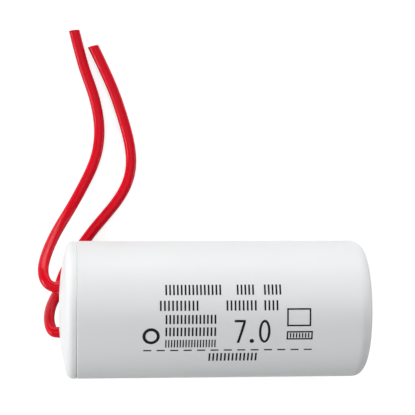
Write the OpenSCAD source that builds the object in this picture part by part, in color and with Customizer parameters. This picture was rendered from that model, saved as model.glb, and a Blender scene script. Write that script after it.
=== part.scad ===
// Round motor run capacitor in a moulded plastic can, with two insulated lead wires.
// It lies on its side along X: the lead end points to -X and the closed end to +X.
// The origin is under the middle of the can and cap, on the surface that it lies on.

/* [Can] */
// Outside diameter of the can
can_d = 28; // [26:0.5:45]
// Length of the can, from its joint with the cap to its closed end
can_l = 58.8; // [45:0.1:90]
// Wall thickness of the can
can_wall = 1.2; // [0.8:0.1:1.8]
// Thickness of the closed end
floor_t = 1.6; // [1.2:0.1:3]
// Radius round the edge of the closed end
end_round = 2.5; // [2.4:0.1:4]
// Chamfer on each side of the joint between can and cap
joint_chamfer = 0.2; // [0.1:0.05:0.4]
// Diameter of the sunk gate mark in the closed end
gate_well_d = 4; // [2:0.5:6]
// Depth of the sunk gate mark
gate_well_depth = 0.3; // [0.1:0.05:0.5]
// Diameter of the gate stub left in the mark
gate_stub_d = 1.2; // [0.8:0.1:1.6]

/* [End cap] */
// Height of the cap beyond the can
cap_h = 3.6; // [3:0.1:6]
// Straight band of the cap next to the joint
cap_band = 0.7; // [0.4:0.1:1]
// Radius of the cap's shoulder
cap_shoulder = 1.6; // [1.2:0.1:1.9]
// Diameter of the flat in the middle of the crowned face
cap_flat_d = 4; // [3:0.5:8]
// Thickness of the cap's face
cap_t = 1.5; // [1:0.1:2]
// Length of the spigot that enters the can
spigot_l = 4; // [2:0.5:6]
// Wall thickness of the spigot
spigot_wall = 1.2; // [0.8:0.1:2]
// Clearance round the spigot
spigot_clearance = 0.1; // [0.05:0.05:0.2]

/* [Leads] */
// Outside diameter of the insulated lead
lead_d = 2.3; // [1.6:0.1:2.6]
// Diameter of the stranded conductor
conductor_d = 1.1; // [0.7:0.1:1.3]
// Distance between the two lead holes
lead_pitch = 9.2; // [8:0.2:10]
// Clearance round each lead in its hole
hole_clearance = 0.15; // [0.1:0.05:0.3]
// Lead-in chamfer at the mouth of each hole
hole_chamfer = 0.4; // [0.2:0.1:0.6]
// Bare conductor between the insulation and the near insulating disc
bare_l = 2; // [1.8:0.1:3]
// Radius of lead B's two bends under the cap
inner_bend_r = 5; // [4.5:0.5:7]

/* [Winding] */
// Outside diameter of the winding core
core_d = 4.6; // [4.2:0.2:5]
// Wall thickness of the winding core
core_wall = 0.7; // [0.5:0.05:0.8]
// How far the core stands out of each end of the roll
core_proud = 1; // [0.8:0.1:1.5]
// Thickness of the plain film wrapped round the roll
wrap_t = 0.4; // [0.2:0.1:1]
// Thickness of the metal sprayed on each end of the roll
spray_t = 0.5; // [0.3:0.1:1]
// Thickness of the card disc over the near spray
disc_t = 0.6; // [0.4:0.1:0.8]
// Resin between the roll and the can wall
resin_gap = 0.8; // [0.5:0.1:1.5]
// Radius of the near solder joint where it sits on the spray
near_solder_r = 1.5; // [1.2:0.1:1.6]
// Height of the near solder joint
near_solder_h = 1.6; // [1.2:0.1:1.8]
// Radius of the far solder joint where it sits on the spray
far_solder_r = 2.6; // [2.4:0.1:3]
// Height of the far solder joint
far_solder_h = 2.8; // [2.6:0.1:2.9]
// Distance of the far solder joint from the axis
far_solder_reach = 5.6; // [5:0.1:6]

/* [Spacer] */
// Length of the spacer ring, from the far spray to the can floor
spacer_l = 3.8; // [3.6:0.1:6]
// Wall thickness of the spacer ring
spacer_wall = 1.2; // [0.8:0.1:1.4]
// Width of each resin slot in the spacer ring
slot_w = 3; // [2:0.5:5]
// Number of resin slots
slot_count = 4; // [3:1:6]

/* [Hidden] */
$fn = 96;

WHITE = [0.93, 0.93, 0.92];
RED = [0.84, 0.07, 0.12];
COPPER = [0.72, 0.42, 0.24];
SOLDER = [0.72, 0.72, 0.74];
ZINC = [0.56, 0.57, 0.59];
FILM = [0.80, 0.82, 0.84];
CARD = [0.78, 0.68, 0.50];
RESIN = [0.20, 0.19, 0.18];

eps = 0.01;
can_r = can_d / 2;
bore_r = can_r - can_wall;
bore_round = end_round - can_wall;
axis_z = can_r;
lead_r = lead_d / 2;
conductor_r = conductor_d / 2;

// Places along the axis, from the cap's face to the closed end
total_l = can_l + cap_h;
x_face = -total_l / 2;
x_joint = x_face + cap_h;
x_under_cap = x_face + cap_t;
x_end = total_l / 2;
x_floor = x_end - floor_t;
x_far_spray = x_floor - spacer_l;

// The crowned face: an arc that meets the flat and the shoulder, and how far it has
// dropped where the leads leave
cap_flat_r = cap_flat_d / 2;
crown_h = cap_h - cap_band - cap_shoulder;
crown_reach = can_r - cap_shoulder - cap_flat_r;
crown_r = (pow(crown_reach, 2) + pow(crown_h, 2)) / (2 * crown_h);
mouth_drop = crown_r - sqrt(pow(crown_r, 2) - pow(lead_pitch / 2 - cap_flat_r, 2));
spigot_r = bore_r - spigot_clearance;
spigot_inner_r = spigot_r - spigot_wall;

// The lead holes, and lead B's double bend from its hole to the axis
exit_y = lead_pitch / 2;
hole_r = lead_r + hole_clearance;
mouth_l = hole_chamfer + mouth_drop;
bend_angle = acos(1 - exit_y / (2 * inner_bend_r));
bend_l = 2 * inner_bend_r * sin(bend_angle);
bend_start_gap = 0.3;
x_bend = x_under_cap + bend_start_gap;
x_core_start = x_bend + bend_l;
x_disc = x_core_start + core_proud;
x_near_spray = x_disc + disc_t;
x_strip = x_disc - bare_l;
x_core_end = x_far_spray + core_proud;

// The roll
core_r = core_d / 2;
core_bore_r = core_r - core_wall;
wrap_r = bore_r - resin_gap;
film_r = wrap_r - wrap_t;
disc_core_clearance = 0.05;
disc_solder_clearance = 0.15;

// The bent end of lead B's conductor
far_elbow_r = 0.9;
x_far_run = x_core_end + far_elbow_r;

// The spacer stands on the flat of the can floor, inside its corner radius
spacer_r = bore_r - bore_round;
slot_depth = spacer_l / 2;

// Clearance of the cast channels round the leads' insulation
channel_clearance = 0.1;

// Lead A outside the cap: x from the cap's face, y from the axis, z above the table.
// It leaves to the side, comes down past the can and lies on the table.
lead_a_route = [
    [-2.4, 5.2, 13.9], [-3.2, 6.6, 13.2], [-3.4, 8.6, 11.8], [-2.8, 11, 9.5],
    [-1.6, 14, 6.8], [0, 17, 4.2], [2.2, 20.5, 2.2], [4.4, 24.5, lead_r + 0.1],
    [6.5, 28.5, lead_r], [8, 32.5, lead_r], [8.5, 37, lead_r], [8, 41.5, lead_r],
    [6.8, 46, lead_r], [5.2, 50, lead_r], [4, 54.5, lead_r], [3, 58.5, lead_r]];

// Lead B drops in front of the cap, turns under the cap's shoulder, comes out beside
// the can and lies on the table.
lead_b_route = [
    [-1.7, -3.9, 13.1], [-2.15, -2.5, 11.4], [-2.1, -0.8, 8.8], [-1.6, 0.8, 6],
    [-0.65, 2.4, 3.6], [-0.05, 4.1, 1.9], [0.4, 6.1, lead_r], [1.9, 8.8, lead_r],
    [4, 11.9, lead_r], [6.5, 15.5, lead_r], [9.5, 19, lead_r], [12.5, 22.5, lead_r],
    [14.8, 26.8, lead_r], [15.3, 31.3, lead_r], [14.5, 36, lead_r], [13, 41, lead_r],
    [11.5, 45.5, lead_r], [9.5, 50, lead_r], [7, 55.2, lead_r]];
exit_straight = 1.2;
lead_sides = 8;
bend_steps = 4;

function unit(v) = v / norm(v);

// Eases the corners out of a row of points and keeps its two ends
function eased(p) = [for (i = [0 : len(p) - 1])
    i == 0 || i == len(p) - 1 ? p[i] : (p[i - 1] + 4 * p[i] + p[i + 1]) / 6];

// The free stretch of a lead, from the middle of its hole at side_y
function free_lead(side_y, route) = eased(concat(
    [for (x = [x_face + cap_t / 2, x_face, x_face - exit_straight]) [x, side_y, axis_z]],
    [for (p = route) [x_face + p.x, p.y, p.z]]));

// Lead A inside the can: straight from its bare end to its hole
function lead_a_inside() = [[x_strip, exit_y, axis_z], [x_under_cap, exit_y, axis_z]];

// Lead B inside the can: through the core, then round two arcs to its hole
function lead_b_inside() = concat(
    [[x_core_end, 0, axis_z]],
    [for (i = [0 : bend_steps]) let (a = bend_angle * i / bend_steps)
        [x_core_start - inner_bend_r * sin(a), -inner_bend_r * (1 - cos(a)), axis_z]],
    [for (i = [bend_steps - 1 : -1 : 0]) let (a = bend_angle * i / bend_steps)
        [x_bend + inner_bend_r * sin(a), -exit_y + inner_bend_r * (1 - cos(a)), axis_z]],
    [[x_under_cap, -exit_y, axis_z]]);

// Direction of a swept line at point i
function heading(p, i) = unit(p[min(i + 1, len(p) - 1)] - p[max(i - 1, 0)]);

// A side vector kept square to heading t
function squared(side, t) = unit(side - t * (side * t));

module along_axis(x) {
    translate([x, 0, axis_z]) rotate([0, 90, 0]) children();
}

module tube_along_axis(x, r, bore, l) {
    along_axis(x) difference() {
        cylinder(r = r, h = l);
        translate([0, 0, -eps]) cylinder(r = bore, h = l + 2 * eps);
    }
}

// A round cord of diameter d swept along the points p
module cord(p, d) {
    last = len(p) - 1;
    sides = [for (i = 0, s = squared([0, 0, 1], heading(p, 0)); i <= last;
        s = squared(s, heading(p, min(i + 1, last))), i = i + 1) s];
    rings = [for (i = [0 : last], k = [0 : lead_sides - 1])
        let (a = 360 * k / lead_sides, over = cross(heading(p, i), sides[i]))
            p[i] + d / 2 * (cos(a) * sides[i] + sin(a) * over)];
    walls = [for (i = [0 : last - 1], k = [0 : lead_sides - 1])
        let (a = i * lead_sides, b = a + lead_sides, n = (k + 1) % lead_sides)
            each [[a + k, b + k, b + n], [a + k, b + n, a + n]]];
    start = [[for (k = [0 : lead_sides - 1]) k]];
    finish = [[for (k = [lead_sides - 1 : -1 : 0]) last * lead_sides + k]];
    polyhedron(points = rings, faces = concat(start, walls, finish), convexity = 6);
}

// Half section of a cup with a round corner: r across, l deep, corner radius c
module cup_section(r, l, c) {
    square([r, l - c]);
    square([r - c, l]);
    translate([r - c, l - c]) intersection() {
        circle(r = c);
        square(c);
    }
}

// The moulded can: straight wall, closed and rounded far end, sunk gate mark
module case() {
    color(WHITE) along_axis(x_joint) {
        difference() {
            rotate_extrude() difference() {
                cup_section(can_r, can_l, end_round);
                cup_section(bore_r, can_l - floor_t, bore_round);
                polygon([[can_r - joint_chamfer, 0], [can_r + eps, -eps], [can_r, joint_chamfer]]);
            }
            translate([0, 0, can_l - gate_well_depth]) difference() {
                cylinder(d = gate_well_d, h = floor_t);
                translate([0, 0, -eps]) cylinder(d = gate_stub_d, h = gate_well_depth * 0.7 + eps);
            }
        }
    }
}

// Half section of the cap's solid outside, or with inset t its hollow inside:
// the flat, then the crown's arc out to radius r
module crown_section(r, inset) {
    square([cap_flat_r, cap_h - inset]);
    intersection() {
        translate([cap_flat_r, cap_h - crown_r]) circle(r = crown_r - inset);
        translate([cap_flat_r - eps, 0]) square([r - cap_flat_r + eps, cap_h]);
    }
}

module cap_section() {
    difference() {
        union() {
            cup_section(can_r, cap_band + cap_shoulder, cap_shoulder);
            crown_section(can_r - cap_shoulder, 0);
            translate([0, -spigot_l]) square([spigot_r, spigot_l + eps]);
        }
        crown_section(spigot_inner_r, cap_t);
        translate([-eps, -spigot_l - eps]) square([spigot_inner_r + eps, spigot_l + 2 * eps]);
        polygon([[can_r - joint_chamfer, 0], [can_r + eps, -eps], [can_r, joint_chamfer]]);
    }
}

// The moulded cap: spigot in the can, rounded shoulder, crowned face, two lead holes
module end_cap() {
    color(WHITE) difference() {
        along_axis(x_joint) mirror([0, 0, 1]) rotate_extrude() cap_section();
        for (side = [-1, 1]) translate([0, side * exit_y, 0]) {
            along_axis(x_face - eps) cylinder(r = hole_r, h = cap_h);
            along_axis(x_face - eps)
                cylinder(r1 = hole_r + mouth_l + eps, r2 = hole_r, h = mouth_l + eps);
        }
    }
}

module winding_core() {
    color(CARD) tube_along_axis(x_core_start, core_r, core_bore_r, x_core_end - x_core_start);
}

// All turns of the metallised film are one solid
module film_winding() {
    color(FILM) tube_along_axis(x_near_spray + spray_t, film_r, core_r,
        x_far_spray - x_near_spray - 2 * spray_t);
}

module winding_wrap() {
    color("gold") tube_along_axis(x_near_spray + spray_t, wrap_r, film_r,
        x_far_spray - x_near_spray - 2 * spray_t);
}

module near_end_spray() {
    color(ZINC) tube_along_axis(x_near_spray, wrap_r, core_r, spray_t);
}

module far_end_spray() {
    color(ZINC) tube_along_axis(x_far_spray - spray_t, wrap_r, core_r, spray_t);
}

// Card disc with holes for the core and for the near solder joint
module near_insulating_disc() {
    color(CARD) difference() {
        tube_along_axis(x_disc, wrap_r, core_r + disc_core_clearance, disc_t);
        translate([0, exit_y, 0]) along_axis(x_disc - eps)
            cylinder(r = near_solder_r + disc_solder_clearance, h = disc_t + 2 * eps);
    }
}

// Ring between the far spray and the can floor, slotted so that resin runs through
module far_spacer() {
    color(WHITE) difference() {
        tube_along_axis(x_far_spray, spacer_r, spacer_r - spacer_wall, spacer_l);
        for (i = [0 : slot_count - 1])
            along_axis(x_floor - slot_depth) rotate(45 + i * 360 / slot_count)
                translate([0, -slot_w / 2, 0]) cube([can_r, slot_w, slot_depth + eps]);
    }
}

// Domed drop of solder: base radius r, height h, its base facing up the axis
module solder_dome(r, h) {
    dome_r = (pow(r, 2) + pow(h, 2)) / (2 * h);
    rotate_extrude() intersection() {
        translate([0, h - dome_r]) circle(r = dome_r);
        square([dome_r, h]);
    }
}

module near_solder_drop() {
    translate([0, exit_y, 0]) along_axis(x_near_spray) mirror([0, 0, 1])
        solder_dome(near_solder_r, near_solder_h);
}

module near_solder_joint() {
    color(SOLDER) difference() {
        near_solder_drop();
        bare_end_a();
    }
}

module far_solder_drop() {
    translate([0, 0, -far_solder_reach]) along_axis(x_far_spray)
        solder_dome(far_solder_r, far_solder_h);
}

module far_solder_joint() {
    color(SOLDER) difference() {
        far_solder_drop();
        bare_end_b();
    }
}

// Lead A's bare end runs straight down to the near spray
module bare_end_a() {
    translate([0, exit_y, 0]) along_axis(x_strip) cylinder(r = conductor_r, h = x_near_spray - x_strip);
}

// Lead B's bare end leaves the core, bends down and ends in the far solder joint
module bare_end_b() {
    translate([x_core_end, 0, axis_z - far_elbow_r]) rotate([90, 0, 0])
        rotate_extrude(angle = 90) translate([far_elbow_r, 0]) circle(r = conductor_r);
    translate([x_far_run, 0, axis_z - far_solder_reach])
        cylinder(r = conductor_r, h = far_solder_reach - far_elbow_r);
}

module lead_a_conductor() {
    color(COPPER) bare_end_a();
}

module lead_b_conductor() {
    color(COPPER) bare_end_b();
}

module lead_a() {
    color(RED) cord(concat(lead_a_inside(), free_lead(exit_y, lead_a_route)), lead_d);
}

module lead_b() {
    color(RED) cord(concat(lead_b_inside(), free_lead(-exit_y, lead_b_route)), lead_d);
}

// The ways that the two leads' insulation keeps open in the resin
module lead_channels() {
    for (inside = [lead_a_inside(), lead_b_inside()]) cord(inside, lead_d + 2 * channel_clearance);
}

// Half section of the room that the resin fills before anything stands in it
module filled_section() {
    difference() {
        union() {
            cup_section(bore_r, can_l - floor_t, bore_round);
            mirror([0, 1]) crown_section(spigot_inner_r, cap_t);
        }
        translate([spigot_inner_r, -eps]) square([can_r, spigot_l + eps]);
        translate([-eps, x_disc - x_joint]) square([wrap_r + eps, x_far_spray - x_disc]);
        translate([-eps, x_core_start - x_joint])
            square([core_r + eps, x_core_end - x_core_start]);
    }
}

// The cast resin: it fills the cap, the gap round the roll and the far end of the can
module potting_resin() {
    color(RESIN) difference() {
        along_axis(x_joint) rotate_extrude() filled_section();
        lead_channels();
        near_solder_drop();
        bare_end_a();
        far_spacer();
        far_solder_drop();
        bare_end_b();
    }
}

case();
end_cap();
potting_resin();
winding_core();
film_winding();
winding_wrap();
near_end_spray();
far_end_spray();
near_insulating_disc();
far_spacer();
lead_a();
lead_b();
lead_a_conductor();
lead_b_conductor();
near_solder_joint();
far_solder_joint();
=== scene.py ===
# A round motor run capacitor in its white plastic can, with two red lead wires,
# dressed piece by piece in the order in which it is put together.
import math
import random
import bpy
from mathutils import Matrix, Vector, noise


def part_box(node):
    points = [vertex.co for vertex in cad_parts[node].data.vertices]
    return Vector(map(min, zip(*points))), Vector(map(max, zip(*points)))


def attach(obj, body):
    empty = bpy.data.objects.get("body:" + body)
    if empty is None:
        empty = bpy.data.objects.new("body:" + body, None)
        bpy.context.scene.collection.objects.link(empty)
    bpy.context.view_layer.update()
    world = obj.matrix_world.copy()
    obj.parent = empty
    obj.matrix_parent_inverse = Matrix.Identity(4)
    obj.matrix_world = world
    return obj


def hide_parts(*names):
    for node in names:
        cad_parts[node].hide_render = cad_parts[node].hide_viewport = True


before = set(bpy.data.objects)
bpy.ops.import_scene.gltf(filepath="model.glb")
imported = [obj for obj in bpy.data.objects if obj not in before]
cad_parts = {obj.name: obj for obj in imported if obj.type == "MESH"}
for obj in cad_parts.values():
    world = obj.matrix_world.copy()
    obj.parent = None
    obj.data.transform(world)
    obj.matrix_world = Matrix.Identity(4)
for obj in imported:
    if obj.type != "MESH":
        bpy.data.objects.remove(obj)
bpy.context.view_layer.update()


# ---- Winding core ----
# A thin drawn tube of natural polypropylene, milky and faintly streaked along its
# length. The film is wound on it, and lead B runs back through its bore.
axis_z = (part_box("case")[0].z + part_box("case")[1].z) / 2


def new_finish(name, **fixed):
    """A node material whose shader holds these constants on its own sockets."""
    finish = bpy.data.materials.new(name)
    finish.use_nodes = True
    shader = finish.node_tree.nodes["Principled BSDF"]
    for socket, value in fixed.items():
        shader.inputs[socket.replace("_", " ")].default_value = value
    return finish


def add(finish, kind, inputs, **settings):
    """Adds a node, sets it, and wires or fills the inputs by name or number."""
    tree = finish.node_tree
    made = tree.nodes.new(kind)
    for name, value in settings.items():
        setattr(made, name, value)
    for name, value in inputs.items():
        if isinstance(value, bpy.types.NodeSocket):
            tree.links.new(value, made.inputs[name])
        else:
            made.inputs[name].default_value = value
    return made


def feed(finish, socket, value):
    """Wires a value to one of the shader's own sockets."""
    shader = finish.node_tree.nodes["Principled BSDF"]
    finish.node_tree.links.new(value, shader.inputs[socket])


def place_on(finish, stretch=(1, 1, 1)):
    """Places on the piece in metres, with the grain drawn out where stretch is small."""
    where = add(finish, "ShaderNodeTexCoord", {})
    return add(finish, "ShaderNodeMapping",
               {"Vector": where.outputs["Object"], "Scale": stretch}).outputs[0]


def grain(finish, where, size, detail=2.0, roughness=0.5):
    """Cloudy noise whose patches are about size across, in metres."""
    return add(finish, "ShaderNodeTexNoise",
               {"Vector": where, "Scale": 1 / size, "Detail": detail,
                "Roughness": roughness}).outputs[0]


def tones(finish, share, *stops):
    """Colours along a ramp; each stop is where it lies and its red, green and blue."""
    ramp = add(finish, "ShaderNodeValToRGB", {"Fac": share})
    marks = ramp.color_ramp.elements
    while len(marks) < len(stops):
        marks.new(0.5)
    for mark, (at, colour) in zip(marks, stops):
        mark.position = at
        mark.color = (*colour, 1)
    return ramp.outputs["Color"]


def between(finish, share, low, high, start=0.3, stop=0.7):
    """Spreads the middle of a noise between two values."""
    return add(finish, "ShaderNodeMapRange",
               {"Value": share, "From Min": start, "From Max": stop,
                "To Min": low, "To Max": high}).outputs[0]


def relief(finish, *layers):
    """Wires bumps one over the other; each is a height and its depth in metres."""
    normal = None
    for height, depth in layers:
        wires = {"Height": height, "Distance": depth, "Strength": 1.0}
        if normal:
            wires["Normal"] = normal
        normal = add(finish, "ShaderNodeBump", wires).outputs[0]
    feed(finish, "Normal", normal)


def dress(node, finish):
    """Gives a CAD piece its finish."""
    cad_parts[node].material_slots[0].material = finish


def natural_plastic(name, size):
    """Uncoloured polypropylene: milky, with drawn streaks and a soft sheen."""
    finish = new_finish(name, Specular_IOR_Level=0.45, Subsurface_Weight=0.2,
                        Subsurface_Scale=0.0008)
    streaks = grain(finish, place_on(finish, (0.08, 1, 1)), size, 3)
    feed(finish, "Base Color", tones(finish, streaks, (0.25, (0.68, 0.67, 0.60)),
                                     (0.75, (0.79, 0.78, 0.72))))
    feed(finish, "Roughness", between(finish, streaks, 0.38, 0.55))
    relief(finish, (streaks, 0.00002))
    return finish


dress("winding_core", natural_plastic("core_plastic", 0.0006))


# ---- Film winding ----
# Some thousand turns of polypropylene film with a mist of zinc on one side. Each
# turn's edge shows as a fine ring at the ends, and the roll has a silvery sheen.
def out_from_axis(finish):
    """How far a place is from the middle of the can, in metres."""
    where = add(finish, "ShaderNodeTexCoord", {}).outputs["Object"]
    flat = add(finish, "ShaderNodeVectorMath", {0: where, 1: (0, 1, 1)},
               operation="MULTIPLY").outputs[0]
    return add(finish, "ShaderNodeVectorMath", {0: flat, 1: (0, 0, axis_z)},
               operation="DISTANCE").outputs["Value"]


def rings(finish, pitch):
    """Uneven rings round the axis, about pitch apart."""
    return add(finish, "ShaderNodeTexNoise",
               {"W": out_from_axis(finish), "Scale": 1 / pitch, "Detail": 2.0},
               noise_dimensions="1D").outputs[0]


wound_film = new_finish("wound_film", Metallic=0.55, Specular_IOR_Level=0.6)
turn_edges = rings(wound_film, 0.00012)
feed(wound_film, "Base Color", tones(wound_film, turn_edges, (0.3, (0.50, 0.53, 0.56)),
                                     (0.7, (0.76, 0.79, 0.82))))
feed(wound_film, "Roughness", between(wound_film, turn_edges, 0.22, 0.4))
relief(wound_film, (turn_edges, 0.00003))
dress("film_winding", wound_film)


# ---- Outer wrap of the roll ----
# A few turns of thicker plain film, wound straight on after the active film and
# sealed with heat. It is clear with a yellow cast, and puckers a little lengthwise.
clear_wrap = new_finish("clear_wrap", Specular_IOR_Level=0.6, Coat_Weight=0.4,
                        Coat_Roughness=0.15)
puckers = grain(clear_wrap, place_on(clear_wrap, (0.12, 1, 1)), 0.0022, 3)
feed(clear_wrap, "Base Color", tones(clear_wrap, puckers, (0.3, (0.66, 0.57, 0.26)),
                                     (0.7, (0.80, 0.73, 0.42))))
feed(clear_wrap, "Roughness", between(clear_wrap, puckers, 0.15, 0.3))
relief(clear_wrap, (puckers, 0.00008))
dress("winding_wrap", clear_wrap)


# ---- Sprayed end contacts ----
# Molten zinc is blown on both ends of the roll and joins the edges of all the
# turns. It sets as a dull crust of frozen droplets.
droplet_size = 0.00035
sprayed_zinc = new_finish("sprayed_zinc", Metallic=0.9)
crust = place_on(sprayed_zinc)
droplets = add(sprayed_zinc, "ShaderNodeTexVoronoi",
               {"Vector": crust, "Scale": 1 / droplet_size}).outputs["Distance"]
soot = grain(sprayed_zinc, crust, 0.003, 4)
feed(sprayed_zinc, "Base Color", tones(sprayed_zinc, soot, (0.3, (0.33, 0.34, 0.36)),
                                       (0.7, (0.56, 0.57, 0.59))))
feed(sprayed_zinc, "Roughness", between(sprayed_zinc, droplets, 0.5, 0.75, 0, 0.6))
relief(sprayed_zinc, (droplets, 0.0001), (soot, 0.00006))
for spray in ("near_end_spray", "far_end_spray"):
    dress(spray, sprayed_zinc)


# ---- Insulating disc ----
# A punched washer of brown pressed card. It keeps the lead wires off the near
# spray, and has a hole for the core and one for the solder joint.
pressed_card = new_finish("pressed_card", Specular_IOR_Level=0.2, Sheen_Weight=0.15)
fibres = grain(pressed_card, place_on(pressed_card, (1, 0.25, 1)), 0.00025, 5, 0.65)
feed(pressed_card, "Base Color", tones(pressed_card, fibres, (0.3, (0.50, 0.38, 0.23)),
                                       (0.7, (0.66, 0.54, 0.36))))
feed(pressed_card, "Roughness", between(pressed_card, fibres, 0.75, 0.95))
relief(pressed_card, (fibres, 0.00004))
dress("near_insulating_disc", pressed_card)


# ---- Bare conductor ends ----
# Each lead is stripped where it meets the roll. The strands are twisted and lie
# close, so that a bare end is a rope of fine copper wires.
strand_d = 0.0002
strand_lay = 0.012


def copper_rope(name, stretch):
    """Drawn copper, with its strands' grooves along the way that stretch draws out."""
    finish = new_finish(name, Metallic=1.0)
    where = place_on(finish, stretch)
    grooves = grain(finish, where, strand_d, 1)
    tarnish = grain(finish, place_on(finish), 0.0015, 3)
    feed(finish, "Base Color", tones(finish, tarnish, (0.3, (0.55, 0.27, 0.14)),
                                     (0.7, (0.80, 0.45, 0.27))))
    feed(finish, "Roughness", between(finish, grooves, 0.22, 0.42))
    relief(finish, (grooves, 0.00004))
    return finish


dress("lead_a_conductor", copper_rope("copper_end_a", (0.1, 1, 1)))
dress("lead_b_conductor", copper_rope("copper_end_b", (1, 1, 0.1)))


# ---- Solder joints ----
# A hand-made drop of tin solder holds each bare end on its spray. It has a cool,
# slightly frosted skin, with a trace of amber flux round its foot.
solder_skin = new_finish("solder_skin", Metallic=0.95)
frost = grain(solder_skin, place_on(solder_skin), 0.0004, 4)
feed(solder_skin, "Base Color", tones(solder_skin, frost, (0.25, (0.52, 0.46, 0.36)),
                                      (0.45, (0.62, 0.62, 0.64)),
                                      (0.8, (0.78, 0.78, 0.80))))
feed(solder_skin, "Roughness", between(solder_skin, frost, 0.2, 0.45))
relief(solder_skin, (frost, 0.00003))
for joint in ("near_solder_joint", "far_solder_joint"):
    dress(joint, solder_skin)


# ---- Lead wires ----
# Stranded copper in red PVC, extruded round it and cut to length with snips. The
# insulation is smooth with fine die lines, and gives a little in its tight bends.
lead_d = 0.0023
lead_r = lead_d / 2
conductor_r = 0.00055
exit_y = 0.0046
exit_straight = 0.0012
face_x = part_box("end_cap")[0].x
cap_t = 0.0015
strip_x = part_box("lead_a_conductor")[0].x
core_low, core_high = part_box("winding_core")

# x from the cap's face, y from the axis, z above the table
lead_a_route = [
    (-0.0024, 0.0052, 0.0139), (-0.0032, 0.0066, 0.0132), (-0.0034, 0.0086, 0.0118),
    (-0.0028, 0.011, 0.0095), (-0.0016, 0.014, 0.0068), (0, 0.017, 0.0042),
    (0.0022, 0.0205, 0.0022), (0.0044, 0.0245, lead_r + 0.0001),
    (0.0065, 0.0285, lead_r), (0.008, 0.0325, lead_r), (0.0085, 0.037, lead_r),
    (0.008, 0.0415, lead_r), (0.0068, 0.046, lead_r), (0.0052, 0.05, lead_r),
    (0.004, 0.0545, lead_r), (0.003, 0.0585, lead_r)]
lead_b_route = [
    (-0.0017, -0.0039, 0.0131), (-0.00215, -0.0025, 0.0114), (-0.0021, -0.0008, 0.0088),
    (-0.0016, 0.0008, 0.006), (-0.00065, 0.0024, 0.0036), (-0.00005, 0.0041, 0.0019),
    (0.0004, 0.0061, lead_r), (0.0019, 0.0088, lead_r), (0.004, 0.0119, lead_r),
    (0.0065, 0.0155, lead_r), (0.0095, 0.019, lead_r), (0.0125, 0.0225, lead_r),
    (0.0148, 0.0268, lead_r), (0.0153, 0.0313, lead_r), (0.0145, 0.036, lead_r),
    (0.013, 0.041, lead_r), (0.0115, 0.0455, lead_r), (0.0095, 0.05, lead_r),
    (0.007, 0.0552, lead_r)]


def free_stretch(side_y, route):
    """A lead's listed points, from the middle of its hole to its cut end."""
    straight = [(face_x + cap_t / 2, side_y, axis_z), (face_x, side_y, axis_z),
                (face_x - exit_straight, side_y, axis_z)]
    return [Vector(p) for p in straight + [(face_x + x, y, z) for x, y, z in route]]


def eased_line(points, steps=10):
    """A smooth line along the points, whose two ends stay where they are."""
    p = [2 * points[0] - points[1], *points, 2 * points[-1] - points[-2]]
    line = []
    for a, b, c, d in zip(p, p[1:], p[2:], p[3:]):
        for i in range(steps):
            t = i / steps
            line.append(((1 - t) ** 3 * a + (3 * t ** 3 - 6 * t ** 2 + 4) * b
                         + (3 * (1 - t) ** 3 - 6 * (1 - t) ** 2 + 4) * c + t ** 3 * d) / 6)
    return line + [points[-1].copy()]


def headings(line):
    """The way that the line runs at each of its points."""
    return [(line[min(i + 1, len(line) - 1)] - line[max(i - 1, 0)]).normalized()
            for i in range(len(line))]


def sides(line):
    """Two square directions at each point, which don't twist along the line."""
    side, found = Vector((0, 0, 1)), []
    for way in headings(line):
        side = (side - way * side.dot(way)).normalized()
        found.append((side, way.cross(side)))
    return found


def skin(rings_of_points, closed_ends=True):
    """Vertices and faces of rings joined one to the next."""
    count = len(rings_of_points[0])
    points = [p for ring in rings_of_points for p in ring]
    faces = []
    for i in range(len(rings_of_points) - 1):
        for k in range(count):
            a, b = i * count + k, i * count + (k + 1) % count
            faces.append((a, b, b + count, a + count))
    if closed_ends:
        last = len(points) - count
        faces += [tuple(range(count - 1, -1, -1)), tuple(range(last, last + count))]
    return points, faces


def joined(skins):
    """Several closed skins as one set of points and faces."""
    points, faces = [], []
    for more, sheets in skins:
        faces += [tuple(v + len(points) for v in f) for f in sheets]
        points += more
    return points, faces


def make_piece(name, points, faces, finish, slot, smooth_to=35):
    """One mesh piece of the object, smooth but for its sharp edges."""
    mesh = bpy.data.meshes.new(name)
    mesh.from_pydata([tuple(p) for p in points], [], faces)
    mesh.validate()
    mesh.shade_smooth()
    mesh.set_sharp_from_angle(angle=math.radians(smooth_to))
    mesh.materials.append(finish)
    piece = bpy.data.objects.new(name, mesh)
    bpy.context.scene.collection.objects.link(piece)
    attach(piece, "root")
    return piece


wall_wander = 0.012
wander_length = 0.0025
bend_give = 0.00012
most_give = 0.06
cut_rim = 0.00008
bore_depth = 0.0025


def snipped(way, skew):
    """The way that a snipped end faces, turned from the wire's way towards +Y."""
    return way.lerp(Vector((0, 1, 0)), skew).normalized()


def onto_the_cut(offset, way, cut_way):
    """Slides a point of a cut end along the wire until it lies in the cut."""
    return offset - way * (offset.dot(cut_way) / way.dot(cut_way))


def give_in_bend(line, ways, i):
    """How much the insulation flattens in its bend, as a vector across the wire."""
    before, after = max(i - 1, 0), min(i + 1, len(line) - 1)
    turn = (ways[after] - ways[before]) / 2
    gap = (line[after] - line[before]).length / 2
    return turn.normalized() * min(most_give, bend_give * turn.length / gap)


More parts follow.
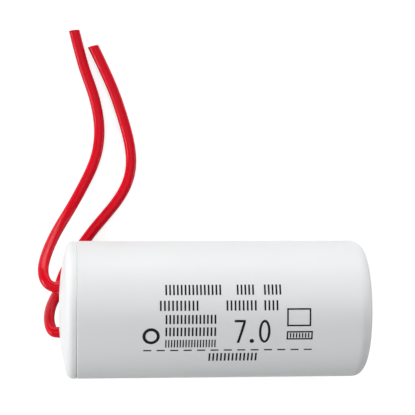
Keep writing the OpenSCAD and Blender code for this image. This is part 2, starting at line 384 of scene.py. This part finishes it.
def sheath(line, skew=None, sides_round=28):
    """Rings of the insulation round a line, and the place of each point on the wire
    before it was bent. A snipped end gets a rim, a bore and the bore's floor."""
    ways, square = headings(line), sides(line)
    last = len(line) - 1
    # each row is a point of the line, a radius, and how far it is moved along the wire
    rows = [(i, lead_r, 0.0) for i in range(len(line))]
    if skew is not None:
        rows[last:] = [(last, lead_r, -cut_rim), (last, lead_r - 0.3 * cut_rim, -0.3 * cut_rim),
                       (last, lead_r - cut_rim, 0.0), (last, conductor_r + 0.3 * cut_rim, 0.0),
                       (last, conductor_r, -0.5 * cut_rim), (last, conductor_r, -bore_depth)]
        cut_way = snipped(ways[last], skew)
    found, flat, run, reached = [], [], 0.0, 0
    for i, radius, back in rows:
        run += (line[i] - line[reached]).length
        reached = i
        give = give_in_bend(line, ways, i)
        ring, marks = [], []
        for k in range(sides_round):
            a = 2 * math.pi * k / sides_round
            c, s = math.cos(a), math.sin(a)
            out = c * square[i][0] + s * square[i][1]
            worn = 0.5 + 0.5 * noise.noise(Vector((run / wander_length, c, s)))
            offset = out * radius
            if radius > conductor_r:
                offset *= 1 - wall_wander * worn - abs(out.dot(give))
            if skew is not None and i == last:
                offset = onto_the_cut(offset, ways[i], cut_way)
            ring.append(line[i] + offset + ways[i] * back)
            marks.append((radius * c, radius * s, run + back))
        found.append(ring)
        flat.append(marks)
    return found, flat


red_pvc = new_finish("red_pvc", Specular_IOR_Level=0.22, Specular_Tint=(1, 0.4, 0.45, 1),
                     Subsurface_Weight=0.06, Subsurface_Scale=0.0004,
                     Subsurface_Radius=(1.0, 0.1, 0.1))
unbent = add(red_pvc, "ShaderNodeAttribute", {}, attribute_name="unbent").outputs["Vector"]
drawn = add(red_pvc, "ShaderNodeMapping",
            {"Vector": unbent, "Scale": (1, 1, 0.02)}).outputs[0]
die_lines = grain(red_pvc, drawn, 0.00012, 2)
cloud = grain(red_pvc, unbent, 0.004, 3)
pores = grain(red_pvc, unbent, 0.00007, 2)
feed(red_pvc, "Base Color", tones(red_pvc, cloud, (0.25, (0.60, 0.0003, 0.010)),
                                  (0.55, (0.65, 0.0005, 0.012)),
                                  (0.8, (0.71, 0.001, 0.015))))
feed(red_pvc, "Roughness", between(red_pvc, cloud, 0.14, 0.22))
relief(red_pvc, (die_lines, 0.000006), (pores, 0.000003))
strand_copper = copper_rope("strand_copper", (1, 1, 1))


def insulation(name, line, skew=None):
    """A stretch of the red insulation along a line."""
    found, flat = sheath(line, skew)
    piece = make_piece(name, *skin(found), red_pvc, "lead_insulation")
    unbent_places = piece.data.attributes.new("unbent", "FLOAT_VECTOR", "POINT")
    unbent_places.data.foreach_set("vector", [c for marks in flat for m in marks for c in m])
    return piece


def strands(name, line, skew, seen_points=12, sides_round=8):
    """The nineteen copper strands that show in a lead's cut end."""
    tail = line[-seen_points:]
    ways, square = headings(tail), sides(tail)
    cut_way = snipped(ways[-1], skew)
    uneven = random.Random(name)

    def strand(out, turn):
        """Rings of one strand, which winds round the middle of the wire."""
        short, run, tube = uneven.uniform(0, 0.3 * strand_d), 0.0, []
        for i, centre in enumerate(tail):
            if i:
                run += (centre - tail[i - 1]).length
            a = turn + 2 * math.pi * run / strand_lay
            middle = out * (math.cos(a) * square[i][0] + math.sin(a) * square[i][1])
            ring = []
            for k in range(sides_round):
                b = 2 * math.pi * k / sides_round
                offset = middle + strand_d / 2 * (math.cos(b) * square[i][0]
                                                  + math.sin(b) * square[i][1])
                if i == len(tail) - 1:
                    offset = onto_the_cut(offset, ways[i], cut_way) - short * ways[i]
                ring.append(centre + offset)
            tube.append(ring)
        return tube

    layers = [(0, 1), (1.02 * strand_d, 6), (1.98 * strand_d, 12)]
    rope = [skin(strand(out, 2 * math.pi * s / count))
            for out, count in layers for s in range(count)]
    return make_piece(name, *joined(rope), strand_copper, "copper")


def double_bend(start_x, stop_x, steps=12):
    """Lead B's way under the cap, from its hole over to the axis in two equal arcs."""
    bend_r = ((stop_x - start_x) ** 2 + exit_y ** 2) / (4 * exit_y)
    whole = math.asin((stop_x - start_x) / (2 * bend_r))
    arc = [(bend_r * math.sin(whole * i / steps), bend_r * (1 - math.cos(whole * i / steps)))
           for i in range(steps + 1)]
    first = [Vector((start_x + x, -exit_y + y, axis_z)) for x, y in arc]
    second = [Vector((stop_x - x, -y, axis_z)) for x, y in reversed(arc[:-1])]
    return first + second


snip_skew = 0.45
bend_start_gap = 0.0003
mid_hole_x = face_x + cap_t / 2
bend_start_x = face_x + cap_t + bend_start_gap
inside_a = [Vector((mid_hole_x, exit_y, axis_z)), Vector((strip_x, exit_y, axis_z))]
inside_b = [Vector((mid_hole_x, -exit_y, axis_z)), *double_bend(bend_start_x, core_low.x),
            Vector((core_high.x, 0, axis_z))]
for letter, side_y, route, inside in (("a", exit_y, lead_a_route, inside_a),
                                      ("b", -exit_y, lead_b_route, inside_b)):
    node = "lead_" + letter
    line = eased_line(free_stretch(side_y, route))
    free = insulation(node + "_free", line, snip_skew)
    ends = strands(node + "_strands", line, snip_skew)
    hidden = insulation(node + "_inside", inside)
    for piece in (free, hidden):
        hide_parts(node)


# ---- Spacer ring ----
# A slotted ring moulded in natural polypropylene. It keeps the roll off the floor
# of the can and lets the resin run through its slots.
dress("far_spacer", natural_plastic("spacer_plastic", 0.001))


# ---- Can ----
# Injection moulded in white polypropylene, closed and rounded at the far end, where
# the gate has left its mark. It has a satin skin with a faint orange peel.
def white_moulding(name, tone):
    """White plastic: flow clouds, orange peel, draw marks and light handling wear."""
    finish = new_finish(name, Specular_IOR_Level=0.1, Subsurface_Weight=0.15,
                        Subsurface_Scale=0.0006, Subsurface_Radius=(1.0, 0.9, 0.8))
    where = place_on(finish)
    flow = grain(finish, place_on(finish, (0.35, 1, 1)), 0.011, 3)
    peel = grain(finish, where, 0.0009, 2)
    draw = grain(finish, place_on(finish, (0.02, 1, 1)), 0.0003, 2)
    wear = grain(finish, where, 0.005, 5, 0.6)
    feed(finish, "Base Color", tones(
        finish, flow, (0.3, tuple(0.97 * c for c in tone)), (0.7, tone)))
    feed(finish, "Roughness", between(finish, wear, 0.4, 0.5))
    relief(finish, (peel, 0.000012), (draw, 0.000002))
    return finish


dress("case", white_moulding("can_white", (0.84, 0.85, 0.86)))


# ---- Potting resin ----
# Two-part resin poured round the roll and under the cap, where it sets hard. It is
# nearly black, and shows only in the thin gap round each lead.
cast_resin = new_finish("cast_resin", Specular_IOR_Level=0.5, Coat_Weight=0.3,
                        Coat_Roughness=0.1)
bubbles_per_metre = 900
poured = place_on(cast_resin)
bubbles = add(cast_resin, "ShaderNodeTexVoronoi",
              {"Vector": poured, "Scale": bubbles_per_metre}).outputs["Distance"]
swirl = grain(cast_resin, poured, 0.004, 3)
feed(cast_resin, "Base Color", tones(cast_resin, swirl, (0.3, (0.020, 0.018, 0.016)),
                                     (0.7, (0.045, 0.040, 0.034))))
feed(cast_resin, "Roughness", between(cast_resin, swirl, 0.2, 0.35))
relief(cast_resin, (bubbles, 0.00003))
dress("potting_resin", cast_resin)


# ---- End cap ----
# Moulded in the same white plastic, pressed into the can by its spigot and held by
# the resin. Its face is crowned, and the leads leave through two chamfered holes.
dress("end_cap", white_moulding("cap_white", (0.86, 0.87, 0.875)))


# ---- Print on the can ----
# Black ink laid straight on the plastic by a pad. The rows are plain upright strokes
# in place of words, over a broken rule, with a plain number and three simple shapes.
can_r = (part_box("case")[1].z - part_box("case")[0].z) / 2
joint_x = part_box("case")[0].x
ink_top = 0.000012
ink_foot = 0.00002
arc_step = 0.0003

pad_ink = new_finish("pad_ink", Specular_IOR_Level=0.12)
ink_cloud = grain(pad_ink, place_on(pad_ink), 0.0009, 4, 0.6)
feed(pad_ink, "Base Color", tones(pad_ink, ink_cloud, (0.3, (0.003, 0.003, 0.004)),
                                  (0.75, (0.011, 0.011, 0.013))))
feed(pad_ink, "Roughness", between(pad_ink, ink_cloud, 0.45, 0.65))
relief(pad_ink, (ink_cloud, 0.000004))


def round_the_can(x, down, out):
    """A place on the can: x from its joint, down from its top line round the near side."""
    turn = down / can_r
    reach = can_r + out
    return Vector((joint_x + x, -reach * math.sin(turn), axis_z + reach * math.cos(turn)))


def ink_strip(left, right, closed=False):
    """A closed film of ink between two rails of flat places."""
    points, faces, count = [], [], len(left)
    for out in (ink_top, -ink_foot):
        for rail in (left, right):
            points += [round_the_can(x, down, out) for x, down in rail]
    rows = count if closed else count - 1
    for i in range(rows):
        j = (i + 1) % count
        for a, b in ((0, 1), (1, 3), (3, 2), (2, 0)):
            faces.append((a * count + i, a * count + j, b * count + j, b * count + i))
    if not closed:
        for i in (0, count - 1):
            ends = (i, count + i, 3 * count + i, 2 * count + i)
            faces.append(ends if i == 0 else ends[::-1])
    return points, faces


def ink_block(x, down, wide, tall, lean=0.0):
    """A bar of ink, with x and down at its corner nearest the cap and the top."""
    steps = max(1, math.ceil(tall / arc_step))
    rail = [(x + lean * i / steps, down + tall * i / steps) for i in range(steps + 1)]
    return ink_strip(rail, [(at + wide, d) for at, d in rail])


def ink_dot(x, down, across, steps=12):
    """A filled round spot, with x and down at its middle."""
    turns = [math.pi * (i + 0.5) / steps for i in range(steps)]
    left = [(x - across / 2 * math.sin(a), down - across / 2 * math.cos(a)) for a in turns]
    return ink_strip(left, [(2 * x - at, d) for at, d in left])


def ink_ring(x, down, wide, tall, line, corners=48):
    """A round or oval outline, with x and down at its middle."""
    def rail(half_wide, half_tall):
        turns = [2 * math.pi * i / corners for i in range(corners)]
        return [(x + half_wide * math.cos(a), down + half_tall * math.sin(a)) for a in turns]
    return ink_strip(rail(wide / 2 - line, tall / 2 - line), rail(wide / 2, tall / 2), True)


def ink_frame(x, down, wide, tall, line):
    """The outline of a rectangle, of four blocks that meet edge to edge."""
    return [ink_block(x, down, wide, line), ink_block(x, down + tall - line, wide, line),
            ink_block(x, down + line, line, tall - 2 * line),
            ink_block(x + wide - line, down + line, line, tall - 2 * line)]


def ink_row(x, down, tall, count, pitch, line=0.00035):
    """Upright strokes in place of a word."""
    return [ink_block(x + i * pitch, down, line, tall) for i in range(count)]


def print_piece(name, films):
    """Joins films of ink into one printed piece."""
    return make_piece(name, *joined(films), pad_ink, "print_ink")


# x and down where a row starts, then its strokes' height, number and pitch
word_rows = [
    (0.0173, -0.0058, 0.0021, 15, 0.00076), (0.0314, -0.0058, 0.0021, 5, 0.00076),
    (0.0368, -0.0058, 0.0021, 5, 0.00076), (0.0162, -0.0026, 0.002, 10, 0.0008),
    (0.0293, -0.0026, 0.002, 8, 0.0008), (0.0368, -0.0026, 0.002, 4, 0.0008),
    (0.0173, 0.0002, 0.0018, 14, 0.00074), (0.0173, 0.0027, 0.0018, 14, 0.00074),
    (0.0173, 0.0053, 0.0017, 18, 0.00057, 0.00026), (0.026, 0.0085, 0.0021, 13, 0.00077)]
print_piece("printed_rows", [stroke for row in word_rows for stroke in ink_row(*row)])
rule_start, rule_down = 0.013, 0.00756
dash_wide, dash_tall, dash_pitch, dash_count = 0.0016, 0.0003, 0.00266, 13
print_piece("printed_rule", [
    ink_block(rule_start + i * dash_pitch, rule_down, dash_wide, dash_tall)
    for i in range(dash_count)])
number_top, number_tall = 0.00125, 0.0048
bar_tall = 0.00048
print_piece("printed_number", [
    ink_block(0.0309, number_top, 0.0022, bar_tall),
    ink_block(0.0326, number_top + bar_tall, 0.00052, number_tall - bar_tall, -0.0012),
    ink_dot(0.0344, number_top + number_tall - 0.0004, 0.0009),
    ink_ring(0.0369, number_top + number_tall / 2, 0.0023, number_tall, 0.0005)])
print_piece("printed_shapes", [ink_ring(0.0145, 0.0045, 0.0034, 0.0034, 0.0006)]
            + ink_frame(0.0413, -0.001, 0.0048, 0.0036, 0.00032)
            + ink_frame(0.0413, 0.0036, 0.0052, 0.0018, 0.0003)
            + ink_row(0.04193, 0.004, 0.001, 7, 0.0006, 0.00028))


# ---- Table, light and camera ----
# A plain pale table that shows white and keeps the soft shadow. Soft lamps stand past
# the far side, past the leads and overhead, with a weak one past the closed end, and
# the camera looks down from nearly straight above.
def seen_directly(made):
    """1 for what the camera sees, straight or in a reflection or through glass."""
    path = add(made, "ShaderNodeLightPath", {})
    most = add(made, "ShaderNodeMath", {0: path.outputs["Is Camera Ray"],
               1: path.outputs["Is Glossy Ray"]}, operation="MAXIMUM").outputs[0]
    return add(made, "ShaderNodeMath", {0: most, 1: path.outputs["Is Transmission Ray"]},
               operation="MAXIMUM").outputs[0]


table_reach = 3.0
bpy.ops.mesh.primitive_plane_add(size=table_reach)
table = bpy.context.object
table.name = "table"
table_top = bpy.data.materials.new("table_top")
table_top.use_nodes = True
table_top.node_tree.nodes.clear()
paper = add(table_top, "ShaderNodeBsdfDiffuse", {"Color": (0.65, 0.65, 0.65, 1)}).outputs[0]
dull = add(table_top, "ShaderNodeBsdfDiffuse", {"Color": (0.08, 0.08, 0.08, 1)}).outputs[0]
lift = add(table_top, "ShaderNodeEmission", {"Strength": 0.65}).outputs[0]
bright = add(table_top, "ShaderNodeAddShader", {0: paper, 1: lift}).outputs[0]
either = add(table_top, "ShaderNodeMixShader",
             {0: seen_directly(table_top), 1: dull, 2: bright}).outputs[0]
add(table_top, "ShaderNodeOutputMaterial", {"Surface": either})
table.data.materials.append(table_top)

studio = bpy.data.worlds.new("studio")
bpy.context.scene.world = studio
studio.use_nodes = True
studio.node_tree.nodes.clear()
soft_air = add(studio, "ShaderNodeBackground", {"Strength": 0.06}).outputs[0]
white_air = add(studio, "ShaderNodeBackground",
                {"Color": (1, 1, 1, 1), "Strength": 1.0}).outputs[0]
air = add(studio, "ShaderNodeMixShader",
          {0: seen_directly(studio), 1: soft_air, 2: white_air}).outputs[0]
add(studio, "ShaderNodeOutputWorld", {"Surface": air})


def lamp(name, place, aim, width, height, power):
    """A soft rectangular lamp turned towards a place."""
    light = bpy.data.lights.new(name, "AREA")
    light.shape = "RECTANGLE"
    light.size, light.size_y, light.energy = width, height, power
    holder = bpy.data.objects.new(name, light)
    holder.location = place
    holder.rotation_euler = (Vector(aim) - Vector(place)).to_track_quat("-Z", "Y").to_euler()
    bpy.context.scene.collection.objects.link(holder)


middle = (0, 0, axis_z)
lamp("far_lamp", (0, 0.5, 0.09), middle, 0.6, 0.17, 2.35)
lamp("lead_end_lamp", (-0.45, -0.12, 0.12), middle, 0.32, 0.12, 1.7)
lamp("top_lamp", (0, 0, 0.514), middle, 0.7, 0.6, 1.75)
lamp("closed_end_lamp", (0.5, -0.05, 0.05), middle, 0.3, 0.08, 0.5)

bpy.context.scene.view_settings.view_transform = "Standard"
camera_height = 0.317
camera_lean = math.radians(4.97)
lens = bpy.data.cameras.new("camera")
lens.lens = 128.3
lens.sensor_width = 36
lens.clip_start = 0.01
camera = bpy.data.objects.new("camera", lens)
camera.location = (-0.0272, 0.02085, camera_height)
camera.rotation_euler = (0, -camera_lean, 0)
bpy.context.scene.collection.objects.link(camera)
bpy.context.scene.camera = camera
